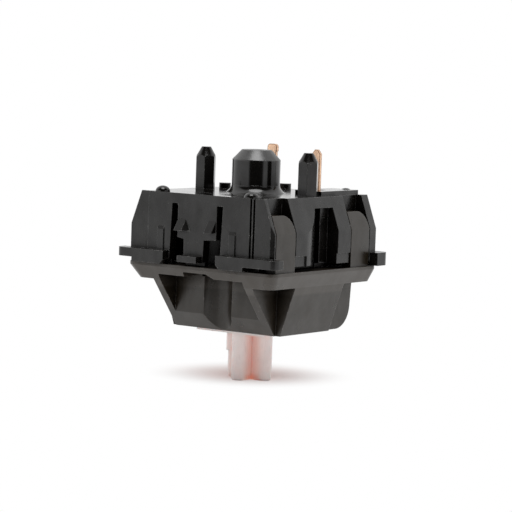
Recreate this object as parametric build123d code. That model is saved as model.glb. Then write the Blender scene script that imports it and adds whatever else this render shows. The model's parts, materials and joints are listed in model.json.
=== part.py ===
from build123d import *
import math
import os

# A keyboard switch, modelled as it stands on its stem: +Z points from the stem's foot to the contact
# pins. X runs along the two side pegs, -Y is the lamp's side, and the pins are on the +Y side.
# The origin is the centre of the stem's foot. Every length is in millimetres.

# Allowances of the modelling itself
bite = 0.1                  # overlap between joined shapes
past = 1.0                  # a cutter's reach past a face
big = 30.0                  # a cutter's reach past the whole part

# Overall levels
stem_reach = 4.1            # stem's foot to the housing's face
housing_height = 11.3       # housing's face to the circuit board
plate_to_board = 5.0        # mounting plate's face to the circuit board
travel = 4.0                # stem's full stroke
standoff_height = 0.45      # board standoffs above the board side of the housing
pin_reach = 3.25            # contact pins past the board's face
post_reach = 2.95           # centre post and pegs past the board's face

# Bottom housing
body_width = 14.0           # body that passes through the plate's cut-out
side_lean = 0.98            # each X side leans in by this at the board side
taper_height = 2.65         # height over which the two X sides lean in
body_chamfer = 0.28         # upright corners at +X -Y and at -X +Y
rim_overhang = 0.8          # tabs that rest on the plate stand out by this
rim_radius = 0.6
tab_thickness = 0.7
land_thickness = 0.35       # step under each tab
land_end_inset = 2.25       # the step of the -Y side ends before the corner
tab_return_near = 0.35      # how far a tab runs along the X sides from the -Y corners
tab_return_far = 0.8        # and from the +Y corners
floor_thickness = 1.0
side_wall = 2.15            # from the X sides to the space inside
face_wall = 0.8             # walls of the Y sides
screen_wall = 0.6           # wall between the lamp's leads and the slider
screen_wall_back = 0.3      # wall behind the leaf's terminal
screen_gap = 0.15           # from the lamp's leads to the screen
seam = 0.05                 # gap between the two housings

# Framed recess, legs' channels and their walls on the two X sides
recess_centre = -0.42
recess_width = 4.34
recess_depth = 1.1
recess_ramp = 2.3           # curved slope from the face down to the recess
recess_groove = (2.3, 3.27) # deeper groove, from the -Y end of the recess
recess_groove_depth = 0.5
recess_frame = 0.85         # bar across the recess, at the board side
frame_foot_step = 0.12      # set-back of the frame's feet
leg_centre = -0.25          # middle between the two legs of one side
leg_corner = 0.7            # from the body's corner to a leg
leg_width = 2.5
leg_gap = 0.1               # running gap beside a leg
channel_depth = 1.5
catch_height = 0.4
catch_depth = 0.3
catch_clearance = 0.05

# Plate clip on each Y side
clip_centre = -0.37
clip_half = 1.9             # tongue above its shoulders
clip_slot = 0.6
clip_slot_lean = 0.2        # outer edge of a slot leans out to the rim
clip_top = 0.8              # slots' upper end below the board side
clip_shoulder = 1.1         # shoulders above the plate's face
clip_heel = 0.1             # slope of the shoulders' ends
tongue_shift = -0.33
tongue_half = 0.93
foot_bar = 0.5              # bar across the tongue's end
foot_bar_lift = 0.3
nub_width = 0.75
nub_flare = 0.45            # inner side of a nub leans out
nub_height = 1.0
nub_depth = 0.65
nub_drop = 1.9              # nub's start below the board side
nub_inset = 0.05            # from the slots and into the face

# Small forms of the -Y and +Y faces
crush_rib_x = (-3.93, 3.1)
crush_rib_width = 0.6
crush_rib_height = 1.9
crush_rib_depth = 0.1
crush_rib_lead = 0.3        # sloped end towards the board
flute_corner = 2.02         # from the body's corner to the flute
flute_width = 0.5
flute_depth = 0.3
flute_fin = 0.12
corner_pad_width = 1.75
corner_pad_depth = 0.08

# Centre post and side pegs
post_radius = 1.93
post_tip_radius = 1.2
post_tip_height = 0.78
post_fillet = 0.42
post_bore_radius = 1.15
post_cap = 0.8              # closed end of the post
peg_spacing = 5.08
peg_radius = 0.85           # across the hexagon's corners
peg_tip_radius = 0.37
peg_tip_height = 0.85

# Board side: standoffs, pads and lamp leads
dome_radius = 0.6
dome_radius_near = 0.5      # dome at the +X -Y corner
dome_inset_x = 2.65         # from the body's sides
dome_inset_y = 0.62
stud_radius = 0.47
side_stud_inset = 2.4       # stud near the -X side
side_stud_y = 2.0
back_stud_x = -1.7          # stud near the +Y side
back_stud_inset = 0.6
pad_margin_x = (1.05, 1.5)  # flat pad round the fixed pin, from the pin
pad_margin_y = 1.35
pad_inset = 0.45            # from the +Y side
pad_drop = 0.1              # pad's face below the standoffs
lamp_y = -5.08
lamp_lead_spacing = 2.54
lamp_lead_slot = 1.15

# Top housing
cover_overhang = 0.2        # rim of the cover past the body
cover_corner = 0.8
cover_thickness = 1.3       # rim of the cover
cover_edge = 0.25           # upright part of the rim's edge
cover_lean = 0.6            # rim's edge leans in by this on X and -Y
tower_inset = 2.35          # block with the two gussets, from the rim's edge
tower_front_wall = 0.65     # face's edge towards the lamp, from the window
tower_back_inset = 0.25     # +Y side at the rim
tower_back_lean = 0.35      # and its lean down to the face, before the round
tower_round = 1.9
wing_half = 3.3
wing_lean = 1.92            # wings lean in by this from the rim to the face
gusset_left = 0.65
gusset_right = 0.75
lamp_bay_y = 4.5            # upright wall behind the lamp
lamp_bay_lift = 0.45        # bay's ceiling above the rim's underside
lamp_radius = 1.5
lamp_notch = (-1.6, 0.65, 1.3)
lamp_notch_lift = 0.35
cover_wall = 0.8
cavity_margin_x = 0.6       # space inside the cover, from the window
cavity_margin_y = 0.2
window_margin_x = 3.3       # stem's window, from the body's sides
window_margin_y = 4.15
window_radius = 0.55
leg_thickness = 0.85
leg_height = 4.4            # above the rim
leg_round = 1.1
leg_edge = 0.15
leg_root = 0.4              # legs start inside the rim
hook_ramp = 0.6

# Stem
cross_length = 4.1
cross_arm = 1.2
cross_chamfer = 0.12
arm_step = 0.2              # one arm is longer near the platform
arm_step_height = 2.15
platform_proud = 0.25
window_clearance = 0.1
flange_proud = 0.3
flange_proud_y = 0.1
flange_thickness = 0.75
flange_clearance = 0.04
slider_height = 4.35
slider_wall = 0.55
seat_depth = 0.85           # spring's seat inside the slider
pole_radius = 1.05
pole_entry = 0.7            # pole inside the spring's tube at rest
pole_chamfer = 0.37
rail_width = 0.7
rail_proud = 0.55
rail_spacing = 3.8
guide_width = 2.8
guide_start = 0.3           # above the tabs' underside
guide_clearance = 0.15
pusher_x = 2.3
pusher_width = 0.9
pusher_tail = 0.45          # pushers reach past the slider
pusher_gap = 0.05

# Return spring
wire_radius = 0.12
spring_radius = 1.85
spring_turns = 8
spring_tube_radius = 1.6
spring_tube_height = 1.6

# Contacts
sheet = 0.25
fixed_arm_half = 1.1
fixed_margin = 0.35         # fixed contact, from the stem's window
fixed_pin_x = 3.93
fixed_pin_offset = 0.45     # pin's middle towards the stem, from the contact's face
fixed_free_end = 8.9
leaf_pin_x = -2.3
terminal_spacing = 2.0      # from the fixed contact to the leaf's terminal
terminal_gap = 0.1          # from the terminal to the screen behind it
terminal_room = 0.15        # from the terminal to the cover
terminal_x = (-3.3, 1.7)
terminal_height = 2.9       # inside the housing
terminal_corner = 0.5
terminal_window = (2.0, 0.9)
terminal_sill = 0.6
strip_depth = 0.65          # strips' depth in the floor
slot_clearance = 0.05
pin_hole_clearance = 0.1
jog_end = 0.2               # fixed pin's jog ends past the board side
pin_width = 0.78
pin_point = 0.35            # tapered end of the fixed pin
point_width = 0.25
point_drop = 0.12           # fixed pin ends lower than the leaf's pin
head_width = 0.95           # rounded head of the leaf's pin
head_height = 0.65
head_round = 0.28
leaf_thickness = 0.12
leaf_neck_half = 1.2
leaf_bar_half = 2.8
leaf_bar_height = 0.8
leaf_bar_corner = 0.25
leaf_root_drop = 0.55       # leaf's root below the floor
leaf_foot = 0.8
leaf_slope = 1.6
crosspoint_size = 0.3
crosspoint_depth = 0.2
crosspoint_length = 1.1
crosspoint_ridge = 0.12
crosspoint_z = 9.3
contact_gap = 0.3
closed_gap = 0.03

# Levels and places worked out from the values above
z_face = stem_reach
z_seat = z_face + housing_height
z_plate = z_seat - plate_to_board
z_board_side = z_seat - standoff_height
z_taper = z_board_side - taper_height
z_tab = z_plate - tab_thickness
z_land = z_tab - land_thickness
z_cover = z_land - seam
z_rim_under = z_cover - cover_thickness
z_floor = z_board_side - floor_thickness
z_post_tip = z_seat + post_reach
z_pin_tip = z_seat + pin_reach
body_half = body_width / 2
board_half = body_half - side_lean
rim_half = body_half + rim_overhang
cover_half = body_half + cover_overhang
tower_half = cover_half - tower_inset
cavity_x = body_half - side_wall
cavity_y = body_half - face_wall
channel_floor = body_half - channel_depth
leg_outer = body_half - leg_corner
leg_inner = leg_outer - leg_width
window_x = body_width - 2 * window_margin_x
window_y = body_width - 2 * window_margin_y
fixed_y = window_y / 2 + fixed_margin
fixed_pin_y = fixed_y - fixed_pin_offset
terminal_y = fixed_y + terminal_spacing
terminal_back = terminal_y + sheet
lead_edge = lamp_y + lamp_lead_slot / 2


def prism(axis, outline, start, end):
    """Straight prism of an outline along X, Y or Z, from start to end.

    The outline's two numbers are the other two axes, in X, Y, Z order."""
    place = {
        "x": lambda a, b: (start, a, b),
        "y": lambda a, b: (a, start, b),
        "z": lambda a, b: (a, b, start),
    }[axis]
    along = {"x": (1, 0, 0), "y": (0, 1, 0), "z": (0, 0, 1)}[axis]
    face = make_face(Polyline(*[place(a, b) for a, b in outline], close=True))
    return extrude(face, amount=end - start, dir=along)


def block(x, y, z):
    """Block between pairs of limits."""
    return Pos(x[0], y[0], z[0]) * Box(x[1] - x[0], y[1] - y[0], z[1] - z[0], align=(Align.MIN,) * 3)


def rounded_block(width, depth, radius, z, centre=(0, 0)):
    """Upright block with rounded corners."""
    return Pos(centre[0], centre[1], z[0]) * extrude(RectangleRounded(width, depth, radius), z[1] - z[0])


def on_both_x_sides(shape):
    """A shape of the +X side and its mirror image."""
    return shape + mirror(shape, Plane.YZ)


def body_edge(z):
    """Half width of the bottom housing across X at a level."""
    lean = max(0.0, z - z_taper) / taper_height
    return body_half - lean * (body_half - board_half)


def build_body():
    """Outer block of the bottom housing: leaning X sides and two chamfered corners."""
    front = prism(
        "y",
        [
            (-body_half, z_tab),
            (-body_half, z_taper),
            (-board_half, z_board_side),
            (board_half, z_board_side),
            (body_half, z_taper),
            (body_half, z_tab),
        ],
        -body_half,
        body_half,
    )
    square = Rectangle(body_width, body_width)
    corners = [corner for corner in square.vertices() if corner.X * corner.Y < 0]
    plan = chamfer(corners, body_chamfer)
    return front & (Pos(0, 0, z_tab) * extrude(plan, z_board_side - z_tab))


def build_rim():
    """Tabs at the four corners, with the lower land under each."""
    keep_near = block((-big, big), (-big, -body_half + tab_return_near), (0, big))
    keep_far = block((-big, big), (body_half - tab_return_far, big), (0, big))
    tab = rounded_block(2 * rim_half, 2 * rim_half, rim_radius, (z_tab, z_plate)) & (keep_near + keep_far)
    land = rounded_block(2 * rim_half, 2 * rim_half, rim_radius, (z_land, z_tab)) & (keep_near + keep_far)
    land -= block((-big, tab_return_far - body_half), (-big, big), (0, big))
    land -= block((body_half - land_end_inset, big), (-big, 0), (0, big))
    slot_edge = clip_half + clip_slot
    gap = prism(
        "y",
        [
            (clip_centre - slot_edge - clip_slot_lean, z_plate),
            (clip_centre - slot_edge - clip_slot_lean, z_tab),
            (clip_centre - slot_edge - clip_slot_lean - land_thickness, z_land),
            (clip_centre + slot_edge + land_thickness, z_land),
            (clip_centre + slot_edge, z_tab),
            (clip_centre + slot_edge, z_plate),
        ],
        -big,
        big,
    )
    return tab + land - gap


def clip_slots():
    """Cut that frees the plate clip on the -Y side."""
    z_top = z_board_side - clip_top
    z_shoulder = z_plate + clip_shoulder
    z_low = z_land - seam
    left = clip_centre - clip_half
    right = clip_centre + clip_half
    tongue_left = clip_centre + tongue_shift - tongue_half
    tongue_right = clip_centre + tongue_shift + tongue_half
    near = -body_half - past
    far = -cavity_y + 2 * bite
    left_slot = prism(
        "y",
        [
            (left - clip_slot, z_top),
            (left, z_top),
            (left, z_shoulder),
            (tongue_left, z_shoulder - clip_heel),
            (tongue_left, z_low),
            (left - clip_slot - clip_slot_lean, z_low),
        ],
        near,
        far,
    )
    right_slot = prism(
        "y",
        [
            (right, z_top),
            (right + clip_slot, z_top),
            (right + clip_slot - clip_slot_lean, z_low),
            (tongue_right, z_low),
            (tongue_right + clip_heel, z_shoulder - clip_heel),
            (right, z_shoulder),
        ],
        near,
        far,
    )
    return left_slot + right_slot


def clip_nub(outer_x, inner_x, side):
    """Wedge that snaps under the plate: flush at its board end, proud at the plate's face."""
    z_start = z_board_side - nub_drop
    z_end = z_start - nub_height
    flat = -body_half + nub_inset
    top = [(outer_x, flat, z_start), (inner_x, flat, z_start)]
    base = [(outer_x, flat, z_end), (inner_x + side * nub_flare, flat, z_end)]
    tip = [(outer_x, flat - nub_depth, z_end), (inner_x, flat - nub_depth, z_end)]
    faces = [
        (top[0], top[1], base[1], base[0]),
        (top[0], top[1], tip[1], tip[0]),
        (base[0], base[1], tip[1], tip[0]),
        (top[0], base[0], tip[0]),
        (top[1], base[1], tip[1]),
    ]
    shell = Shell([Face(Wire.make_polygon(face)) for face in faces])
    return Solid(shell)


def build_clip():
    """Nubs and end bar of the -Y plate clip."""
    left = clip_centre - clip_half + nub_inset
    right = clip_centre + clip_half - nub_inset
    nub_left = clip_nub(left, left + nub_width, 1)
    nub_right = clip_nub(right - nub_width, right, 0)
    middle = clip_centre + tongue_shift
    bar = block(
        (middle - tongue_half, middle + tongue_half),
        (-rim_half, -cavity_y - bite),
        (z_land + foot_bar_lift, z_land + foot_bar_lift + foot_bar),
    )
    return nub_left + nub_right + bar


def face_details():
    """Raised crush ribs of the -Y face."""
    ribs = []
    for x in crush_rib_x:
        ribs.append(
            prism(
                "x",
                [
                    (-body_half + bite, z_plate),
                    (-body_half - crush_rib_depth, z_plate),
                    (-body_half - crush_rib_depth, z_plate + crush_rib_height - crush_rib_lead),
                    (-body_half, z_plate + crush_rib_height),
                    (-body_half + bite, z_plate + crush_rib_height),
                ],
                x - crush_rib_width / 2,
                x + crush_rib_width / 2,
            )
        )
    return ribs[0] + ribs[1]


def face_cuts():
    """Flute near one corner of the -Y face and the set-back pad near the other."""
    flute_middle = body_half - flute_corner
    flute = block(
        (flute_middle - flute_width / 2, flute_middle + flute_width / 2),
        (-body_half - past, -body_half + flute_depth),
        (z_plate, big),
    )
    fin = block(
        (flute_middle - flute_fin / 2, flute_middle + flute_fin / 2),
        (-body_half - past, -body_half + flute_depth),
        (z_plate, big),
    )
    pad = block(
        (-body_half - past, -body_half + corner_pad_width),
        (-body_half - past, -body_half + corner_pad_depth),
        (z_plate, big),
    )
    return flute - fin + pad


def side_cuts():
    """Framed recess and the two leg channels of the +X side."""
    low = recess_centre - recess_width / 2
    high = recess_centre + recess_width / 2
    floor = body_half - recess_depth
    turn = 2 * math.atan2(recess_depth, recess_ramp)
    radius = recess_ramp / math.sin(turn)
    middle = (body_half - radius + radius * math.cos(turn / 2), low + radius * math.sin(turn / 2))
    ramp = ThreePointArc((body_half, low), middle, (floor, low + recess_ramp))
    rest = Polyline((floor, low + recess_ramp), (floor, high), (big, high), (big, low), (body_half, low))
    top = z_board_side - recess_frame
    cuts = extrude(make_face(ramp + rest), top)
    cuts += block(
        (floor - recess_groove_depth, floor + bite),
        (low + recess_groove[0], low + recess_groove[1]),
        (0, top),
    )
    for side in (-1, 1):
        edges = sorted(
            (
                leg_centre + side * (leg_inner - leg_gap),
                leg_centre + side * (leg_outer + leg_gap),
            )
        )
        channel = block((channel_floor, big), edges, (0, big))
        z_catch = z_cover + leg_height - 2 * catch_height - leg_gap
        catch = prism(
            "y",
            [
                (channel_floor - bite, z_catch - catch_height),
                (channel_floor, z_catch - catch_height),
                (channel_floor + catch_depth, z_catch),
                (channel_floor + catch_depth, z_catch + catch_height / 2),
                (channel_floor - bite, z_catch + catch_height / 2),
            ],
            edges[0] - bite,
            edges[1] + bite,
        )
        cuts += channel - catch
    return cuts


def side_feet():
    """Set-back feet under the frame's two limbs on the +X side."""
    feet = []
    for side, limb in (
        (-1, (leg_centre - leg_inner + leg_gap, recess_centre - recess_width / 2)),
        (1, (recess_centre + recess_width / 2, leg_centre + leg_inner - leg_gap)),
    ):
        feet.append(
            block(
                (body_half - frame_foot_step, body_half + past),
                (limb[0] - bite, limb[1] + bite),
                (0, z_plate + bite),
            )
        )
    return feet[0] + feet[1]


def build_post():
    """Centre post with its chamfered tip and the round at its foot, by revolving a profile."""
    root = z_board_side
    foot = post_radius + post_fillet
    sag = post_fillet * (1 - math.sqrt(0.5))
    below = Polyline((0, 0, root - bite), (foot, 0, root - bite), (foot, 0, root))
    round_foot = ThreePointArc(
        (foot, 0, root), (post_radius + sag, 0, root + sag), (post_radius, 0, root + post_fillet)
    )
    shank = Polyline(
        (post_radius, 0, root + post_fillet),
        (post_radius, 0, z_post_tip - post_tip_height),
        (post_tip_radius, 0, z_post_tip),
        (0, 0, z_post_tip),
        (0, 0, root - bite),
    )
    return revolve(make_face(below + round_foot + shank), Axis.Z)


def build_peg():
    """Hexagonal side peg with a conical tip, on the axis."""
    height = z_post_tip - z_board_side + bite
    shank = extrude(RegularPolygon(peg_radius, 6), height)
    cone = Pos(0, 0, height - peg_tip_height / 2) * Cone(peg_radius, peg_tip_radius, peg_tip_height)
    sleeve = Pos(0, 0, (height - peg_tip_height) / 2) * Cylinder(peg_radius, height - peg_tip_height)
    return Pos(0, 0, z_board_side - bite) * (shank & (cone + sleeve))


def board_side():
    """Everything that stands on the board side of the bottom housing."""
    parts = build_post()
    for side in (-1, 1):
        parts += Pos(side * peg_spacing, 0, 0) * build_peg()
    dome_x = body_half - dome_inset_x
    dome_y = body_half - dome_inset_y
    for x, y in ((-dome_x, -dome_y), (-dome_x, dome_y), (dome_x, dome_y), (dome_x, -dome_y)):
        radius = dome_radius_near if x > 0 > y else dome_radius
        dome = scale(Sphere(radius), by=(1, 1, standoff_height / radius))
        dome &= block((-radius, radius), (-radius, radius), (-bite, standoff_height))
        parts += Pos(x, y, z_board_side) * dome
    studs = ((side_stud_inset - body_half, side_stud_y), (back_stud_x, body_half - back_stud_inset))
    for x, y in studs:
        stud = Pos(x, y, (z_board_side + z_seat) / 2) * Cylinder(stud_radius, standoff_height)
        parts += stud
    parts += block(
        (fixed_pin_x - pad_margin_x[0], fixed_pin_x + pad_margin_x[1]),
        (fixed_pin_y - pad_margin_y, body_half - pad_inset),
        (z_board_side - bite, z_seat - pad_drop),
    )
    return parts


def floor_slots():
    """Slots in the floor for the two contacts, and the lamp's two lead holes."""
    strip = sheet + 2 * slot_clearance
    pin_hole = pin_width / 2 + pin_hole_clearance
    z_strip = z_floor + strip_depth + slot_clearance
    fixed = block(
        (-fixed_arm_half - slot_clearance, fixed_pin_x + pin_hole),
        (fixed_y - slot_clearance, fixed_y - slot_clearance + strip),
        (z_floor - bite, z_strip),
    )
    fixed_exit = block(
        (fixed_pin_x - pin_hole, fixed_pin_x + pin_hole),
        (fixed_pin_y - sheet / 2 - pin_hole_clearance, fixed_y - slot_clearance + strip),
        (z_floor - bite, big),
    )
    leaf = block(
        (terminal_x[0] - slot_clearance, terminal_x[1] + slot_clearance),
        (terminal_y - slot_clearance, terminal_y - slot_clearance + strip),
        (z_floor - bite, z_strip),
    )
    leaf_exit = block(
        (leaf_pin_x - pin_hole, leaf_pin_x + pin_hole),
        (terminal_y - slot_clearance, terminal_y - slot_clearance + strip),
        (z_floor - bite, big),
    )
    cuts = fixed + fixed_exit + leaf + leaf_exit
    for side in (-1, 1):
        x = side * lamp_lead_spacing / 2
        cuts += block(
            (x - lamp_lead_slot / 2, x + lamp_lead_slot / 2),
            (lamp_y - lamp_lead_slot / 2, lamp_y + lamp_lead_slot / 2),
            (z_floor - bite, big),
        )
    return cuts


def build_bottom_housing():
    body = build_body() + build_rim()
    band = body_half - tab_return_near
    body += block((-channel_floor, channel_floor), (-band, band), (z_land, z_tab + bite))
    body -= block((-cavity_x, cavity_x), (-cavity_y, cavity_y), (0, z_floor))
    body -= on_both_x_sides(side_cuts())
    body -= on_both_x_sides(side_feet())
    slots = clip_slots()
    body -= slots + Rot(0, 0, 180) * slots
    clip = build_clip()
    body += clip + Rot(0, 0, 180) * clip
    body += face_details()
    body -= face_cuts()
    body += board_side()
    tube_z = (z_floor - spring_tube_height, z_floor + bite)
    body += Pos(0, 0, tube_z[0]) * extrude(Circle(spring_tube_radius), tube_z[1] - tube_z[0])
    bore_top = z_post_tip - post_cap
    body -= Pos(0, 0, tube_z[0] - past) * extrude(Circle(post_bore_radius), bore_top - tube_z[0] + past)
    slider_edge = window_x / 2 - window_clearance
    guide = block(
        (slider_edge + guide_clearance, cavity_x + bite),
        (-guide_width / 2, guide_width / 2),
        (z_tab + guide_start, z_floor + bite),
    )
    body += on_both_x_sides(guide)
    front = lead_edge + screen_gap
    back = terminal_back + terminal_gap
    for screen in ((front, front + screen_wall), (back, back + screen_wall_back)):
        body += block((-cavity_x - bite, cavity_x + bite), screen, (z_land, z_floor + bite))
    body -= floor_slots()
    return body


def build_tower():
    """Blocks of the cover below its rim: the tower with two gussets, and the two sloping wings."""
    lean = cover_half - cover_lean
    z_join = z_rim_under + 2 * bite
    back = cover_half - tower_back_inset
    tower = prism(
        "x",
        [
            (-window_y / 2 - tower_front_wall, z_face),
            (back - tower_back_lean, z_face),
            (back, z_join),
            (-lean, z_join),
            (-lean, z_rim_under),
        ],
        -tower_half,
        tower_half,
    )
    tower = fillet(tower.edges().filter_by(Axis.X).group_by(Axis.Z)[0].sort_by(Axis.Y)[-1], tower_round)
    wings = prism(
        "y",
        [
            (wing_lean - cover_half, z_face),
            (cover_half - wing_lean, z_face),
            (lean, z_rim_under),
            (lean, z_join),
            (-lean, z_join),
            (-lean, z_rim_under),
        ],
        -wing_half,
        wing_half,
    )
    return tower + wings


def build_cover_rim():
    """Rim of the cover: its edge leans in on three sides, round the corners too."""
    z_edge = z_cover - cover_edge
    width = 2 * cover_half
    low = Pos(0, cover_lean / 2, z_rim_under) * RectangleRounded(
        width - 2 * cover_lean, width - cover_lean, cover_corner
    )
    high = Pos(0, 0, z_edge) * RectangleRounded(width, width, cover_corner)
    return loft([low, high]) + rounded_block(width, width, cover_corner, (z_edge, z_cover))


def build_leg(low_y, high_y):
    """Leg of the +X side: it follows the body's lean and hooks over the catch in its channel."""
    z_tip = z_cover + leg_height
    inner = body_half - leg_thickness
    tip_outer = body_edge(z_tip)
    hook = channel_floor + leg_gap
    z_hook = z_tip - catch_height
    side = prism(
        "y",
        [
            (inner, z_cover - leg_root),
            (body_half, z_cover - leg_root),
            (body_half, z_taper),
            (tip_outer, z_tip),
            (hook, z_tip),
            (hook, z_hook),
            (channel_floor + catch_depth + catch_clearance, z_hook),
            (inner, z_taper - hook_ramp),
        ],
        low_y,
        high_y,
    )
    outline = prism(
        "x",
        [(low_y, z_cover - leg_root), (high_y, z_cover - leg_root), (high_y, z_tip), (low_y, z_tip)],
        0,
        body_half + past,
    )
    tip_edges = outline.edges().filter_by(Axis.X).group_by(Axis.Z)[-1]
    outline = fillet(tip_edges.sort_by(Axis.Y)[-1], leg_round)
    outline = fillet(outline.edges().filter_by(Axis.X).group_by(Axis.Z)[-1].sort_by(Axis.Y)[0], leg_edge)
    return side & outline


def build_top_housing():
    cover = build_cover_rim() + build_tower()
    z_bay = z_rim_under + lamp_bay_lift
    cover -= block((gusset_left - tower_half, tower_half - gusset_right), (-big, -lamp_bay_y), (0, z_bay))
    cover -= Pos(0, lamp_y, 0) * extrude(Circle(lamp_radius), z_bay)
    cover -= prism(
        "y",
        [
            (lamp_notch[0], z_bay - bite),
            (lamp_notch[0], z_bay + lamp_notch_lift),
            (lamp_notch[1], z_bay + lamp_notch_lift),
            (lamp_notch[2], z_bay),
            (lamp_notch[2], z_bay - bite),
        ],
        -big,
        lamp_y + lamp_radius,
    )
    for side in (-1, 1):
        x = side * lamp_lead_spacing / 2
        cover -= Pos(x, lamp_y, 0) * extrude(Circle(lamp_lead_slot / 2), big)
    cavity = block(
        (-window_x / 2 - cavity_margin_x, window_x / 2 + cavity_margin_x),
        (-window_y / 2 - cavity_margin_y, terminal_back + terminal_room),
        (z_face + cover_wall, big),
    )
    back_edges = cavity.faces().sort_by(Axis.Z)[0].edges().sort_by(Axis.Y)[-1]
    cover -= chamfer(back_edges, cover_wall)
    cover -= rounded_block(window_x, window_y, window_radius, (0, z_face + 2 * cover_wall))
    for side in (-1, 1):
        edges = sorted((leg_centre + side * leg_inner, leg_centre + side * leg_outer))
        cover += on_both_x_sides(build_leg(edges[0], edges[1]))
    return cover


def build_stem():
    z_platform = z_face - platform_proud
    cross = extrude(SlotOverall(cross_length, cross_arm), z_platform + bite)
    cross += extrude(SlotOverall(cross_length, cross_arm, rotation=90), z_platform + bite)
    cross = chamfer(cross.faces().sort_by(Axis.Z)[0].edges(), cross_chamfer)
    step = Pos(-arm_step / 2, 0, arm_step_height) * extrude(
        SlotOverall(cross_length + arm_step, cross_arm), z_platform + bite - arm_step_height
    )
    step &= block((-big, 0), (-big, big), (0, big))
    slider_x = window_x - 2 * window_clearance
    slider_y = window_y - 2 * window_clearance
    radius = window_radius - window_clearance
    z_flange = z_face + cover_wall + flange_clearance
    z_end = z_flange + slider_height
    stem = cross + step
    stem += rounded_block(slider_x, slider_y, radius, (z_platform, z_end))
    stem += rounded_block(
        window_x + 2 * flange_proud,
        window_y + 2 * flange_proud_y,
        radius,
        (z_flange, z_flange + flange_thickness),
    )
    z_spring = z_flange + seat_depth
    hollow_x = slider_x - 2 * slider_wall
    hollow_y = slider_y - 2 * slider_wall
    stem -= rounded_block(hollow_x, hollow_y, radius, (z_spring, big))
    z_pole = z_floor - spring_tube_height + pole_entry
    pole = Pos(0, 0, z_spring - bite) * extrude(Circle(pole_radius), z_pole - z_spring + bite)
    pole = chamfer(pole.faces().sort_by(Axis.Z)[-1].edges(), pole_chamfer)
    stem += pole
    for y in (-rail_spacing / 2, rail_spacing / 2):
        rail = block(
            (slider_x / 2 - bite, slider_x / 2 + rail_proud),
            (y - rail_width / 2, y + rail_width / 2),
            (z_flange, z_end),
        )
        stem += on_both_x_sides(rail)
    stem += build_pushers(z_flange, z_end + pusher_tail, slider_y / 2)
    return stem


def leaf_front():
    """Stem side of the leaf at rest."""
    return fixed_y + sheet + 2 * crosspoint_depth + contact_gap


def build_pushers(z_start, z_end, root):
    """Two legs that hold the leaf back. Their slope lets it swing as the stem goes in."""
    high = leaf_front() - pusher_gap
    drop = contact_gap - closed_gap
    z_bar = leaf_bar_z()[0]
    outline = [
        (root - bite, z_start),
        (high - drop * (z_bar - z_start) / travel, z_start),
        (high, z_bar),
        (high, z_end),
        (root - bite, z_end),
    ]
    pusher = prism("x", outline, pusher_x - pusher_width / 2, pusher_x + pusher_width / 2)
    return on_both_x_sides(pusher)


def build_spring():
    z_flange = z_face + cover_wall + flange_clearance
    low = z_flange + seat_depth + wire_radius
    high = z_floor - wire_radius
    height = high - low
    path = Helix(height / spring_turns, height, spring_radius)
    section = Plane(origin=path @ 0, z_dir=path % 0) * RegularPolygon(wire_radius, 6)
    return Pos(0, 0, low) * sweep(section, path=path, is_frenet=True)


def pointed_pin(x, y, z_start):
    """Flat pin with a tapered point."""
    half = pin_width / 2
    z_end = z_pin_tip - point_drop
    return prism(
        "y",
        [
            (x - half, z_start),
            (x - half, z_end - pin_point),
            (x - point_width / 2, z_end),
            (x + point_width / 2, z_end),
            (x + half, z_end - pin_point),
            (x + half, z_start),
        ],
        y - sheet / 2,
        y + sheet / 2,
    )


def headed_pin(x, y, z_start):
    """Flat pin with a rounded head, a little wider than its shank."""
    depth = (y - sheet / 2, y + sheet / 2)
    z_head = z_pin_tip - head_height
    shank = block((x - pin_width / 2, x + pin_width / 2), depth, (z_start, z_head + bite))
    head = block((x - head_width / 2, x + head_width / 2), depth, (z_head, z_pin_tip))
    upright = head.edges().filter_by(Axis.Y).sort_by(Axis.Z)
    head = fillet(upright[2:], head_round)
    return shank + chamfer(head.edges().filter_by(Axis.Y).sort_by(Axis.Z)[:2], (head_width - pin_width) / 2)


def build_fixed_contact():
    """Arm between the stem's pushers, a strip in the floor and a pin that jogs towards the stem."""
    z_strip = z_floor + strip_depth
    arm = block((-fixed_arm_half, fixed_arm_half), (fixed_y, fixed_y + sheet), (fixed_free_end, z_strip))
    strip = block(
        (-fixed_arm_half, fixed_pin_x + pin_width / 2),
        (fixed_y, fixed_y + sheet),
        (z_floor + slot_clearance, z_strip),
    )
    back = fixed_y + sheet
    front = fixed_pin_y - sheet / 2
    z_jog = z_board_side + jog_end
    jog = prism(
        "x",
        [
            (fixed_y, z_strip - sheet),
            (back, z_strip - sheet),
            (back, z_strip),
            (front + sheet, z_jog),
            (front + sheet, z_jog + bite),
            (front, z_jog + bite),
            (front, z_jog - bite),
            (fixed_y, z_strip - bite),
        ],
        fixed_pin_x - pin_width / 2,
        fixed_pin_x + pin_width / 2,
    )
    return arm + strip + jog + pointed_pin(fixed_pin_x, fixed_pin_y, z_jog)


def build_leaf_terminal():
    """Upright plate that carries the leaf, a strip in the floor and a straight pin."""
    z_strip = z_floor + strip_depth
    low = z_floor - terminal_height
    plate = block(terminal_x, (terminal_y, terminal_y + sheet), (low, z_strip))
    middle = (terminal_x[0] + terminal_x[1]) / 2
    corners = plate.edges().filter_by(Axis.Y).sort_by(Axis.Z)[:2]
    plate = fillet(corners, terminal_corner)
    sill = low + terminal_sill
    window = block(
        (middle - terminal_window[0] / 2, middle + terminal_window[0] / 2),
        (terminal_y - past, terminal_y + past),
        (sill, sill + terminal_window[1]),
    )
    return plate - window + headed_pin(leaf_pin_x, terminal_y + sheet / 2, z_strip - bite)


def leaf_bar_z():
    """Levels of the leaf's cross bar, which the stem's pushers touch."""
    return (crosspoint_z - leaf_bar_height / 2, crosspoint_z + leaf_bar_height / 2)


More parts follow.
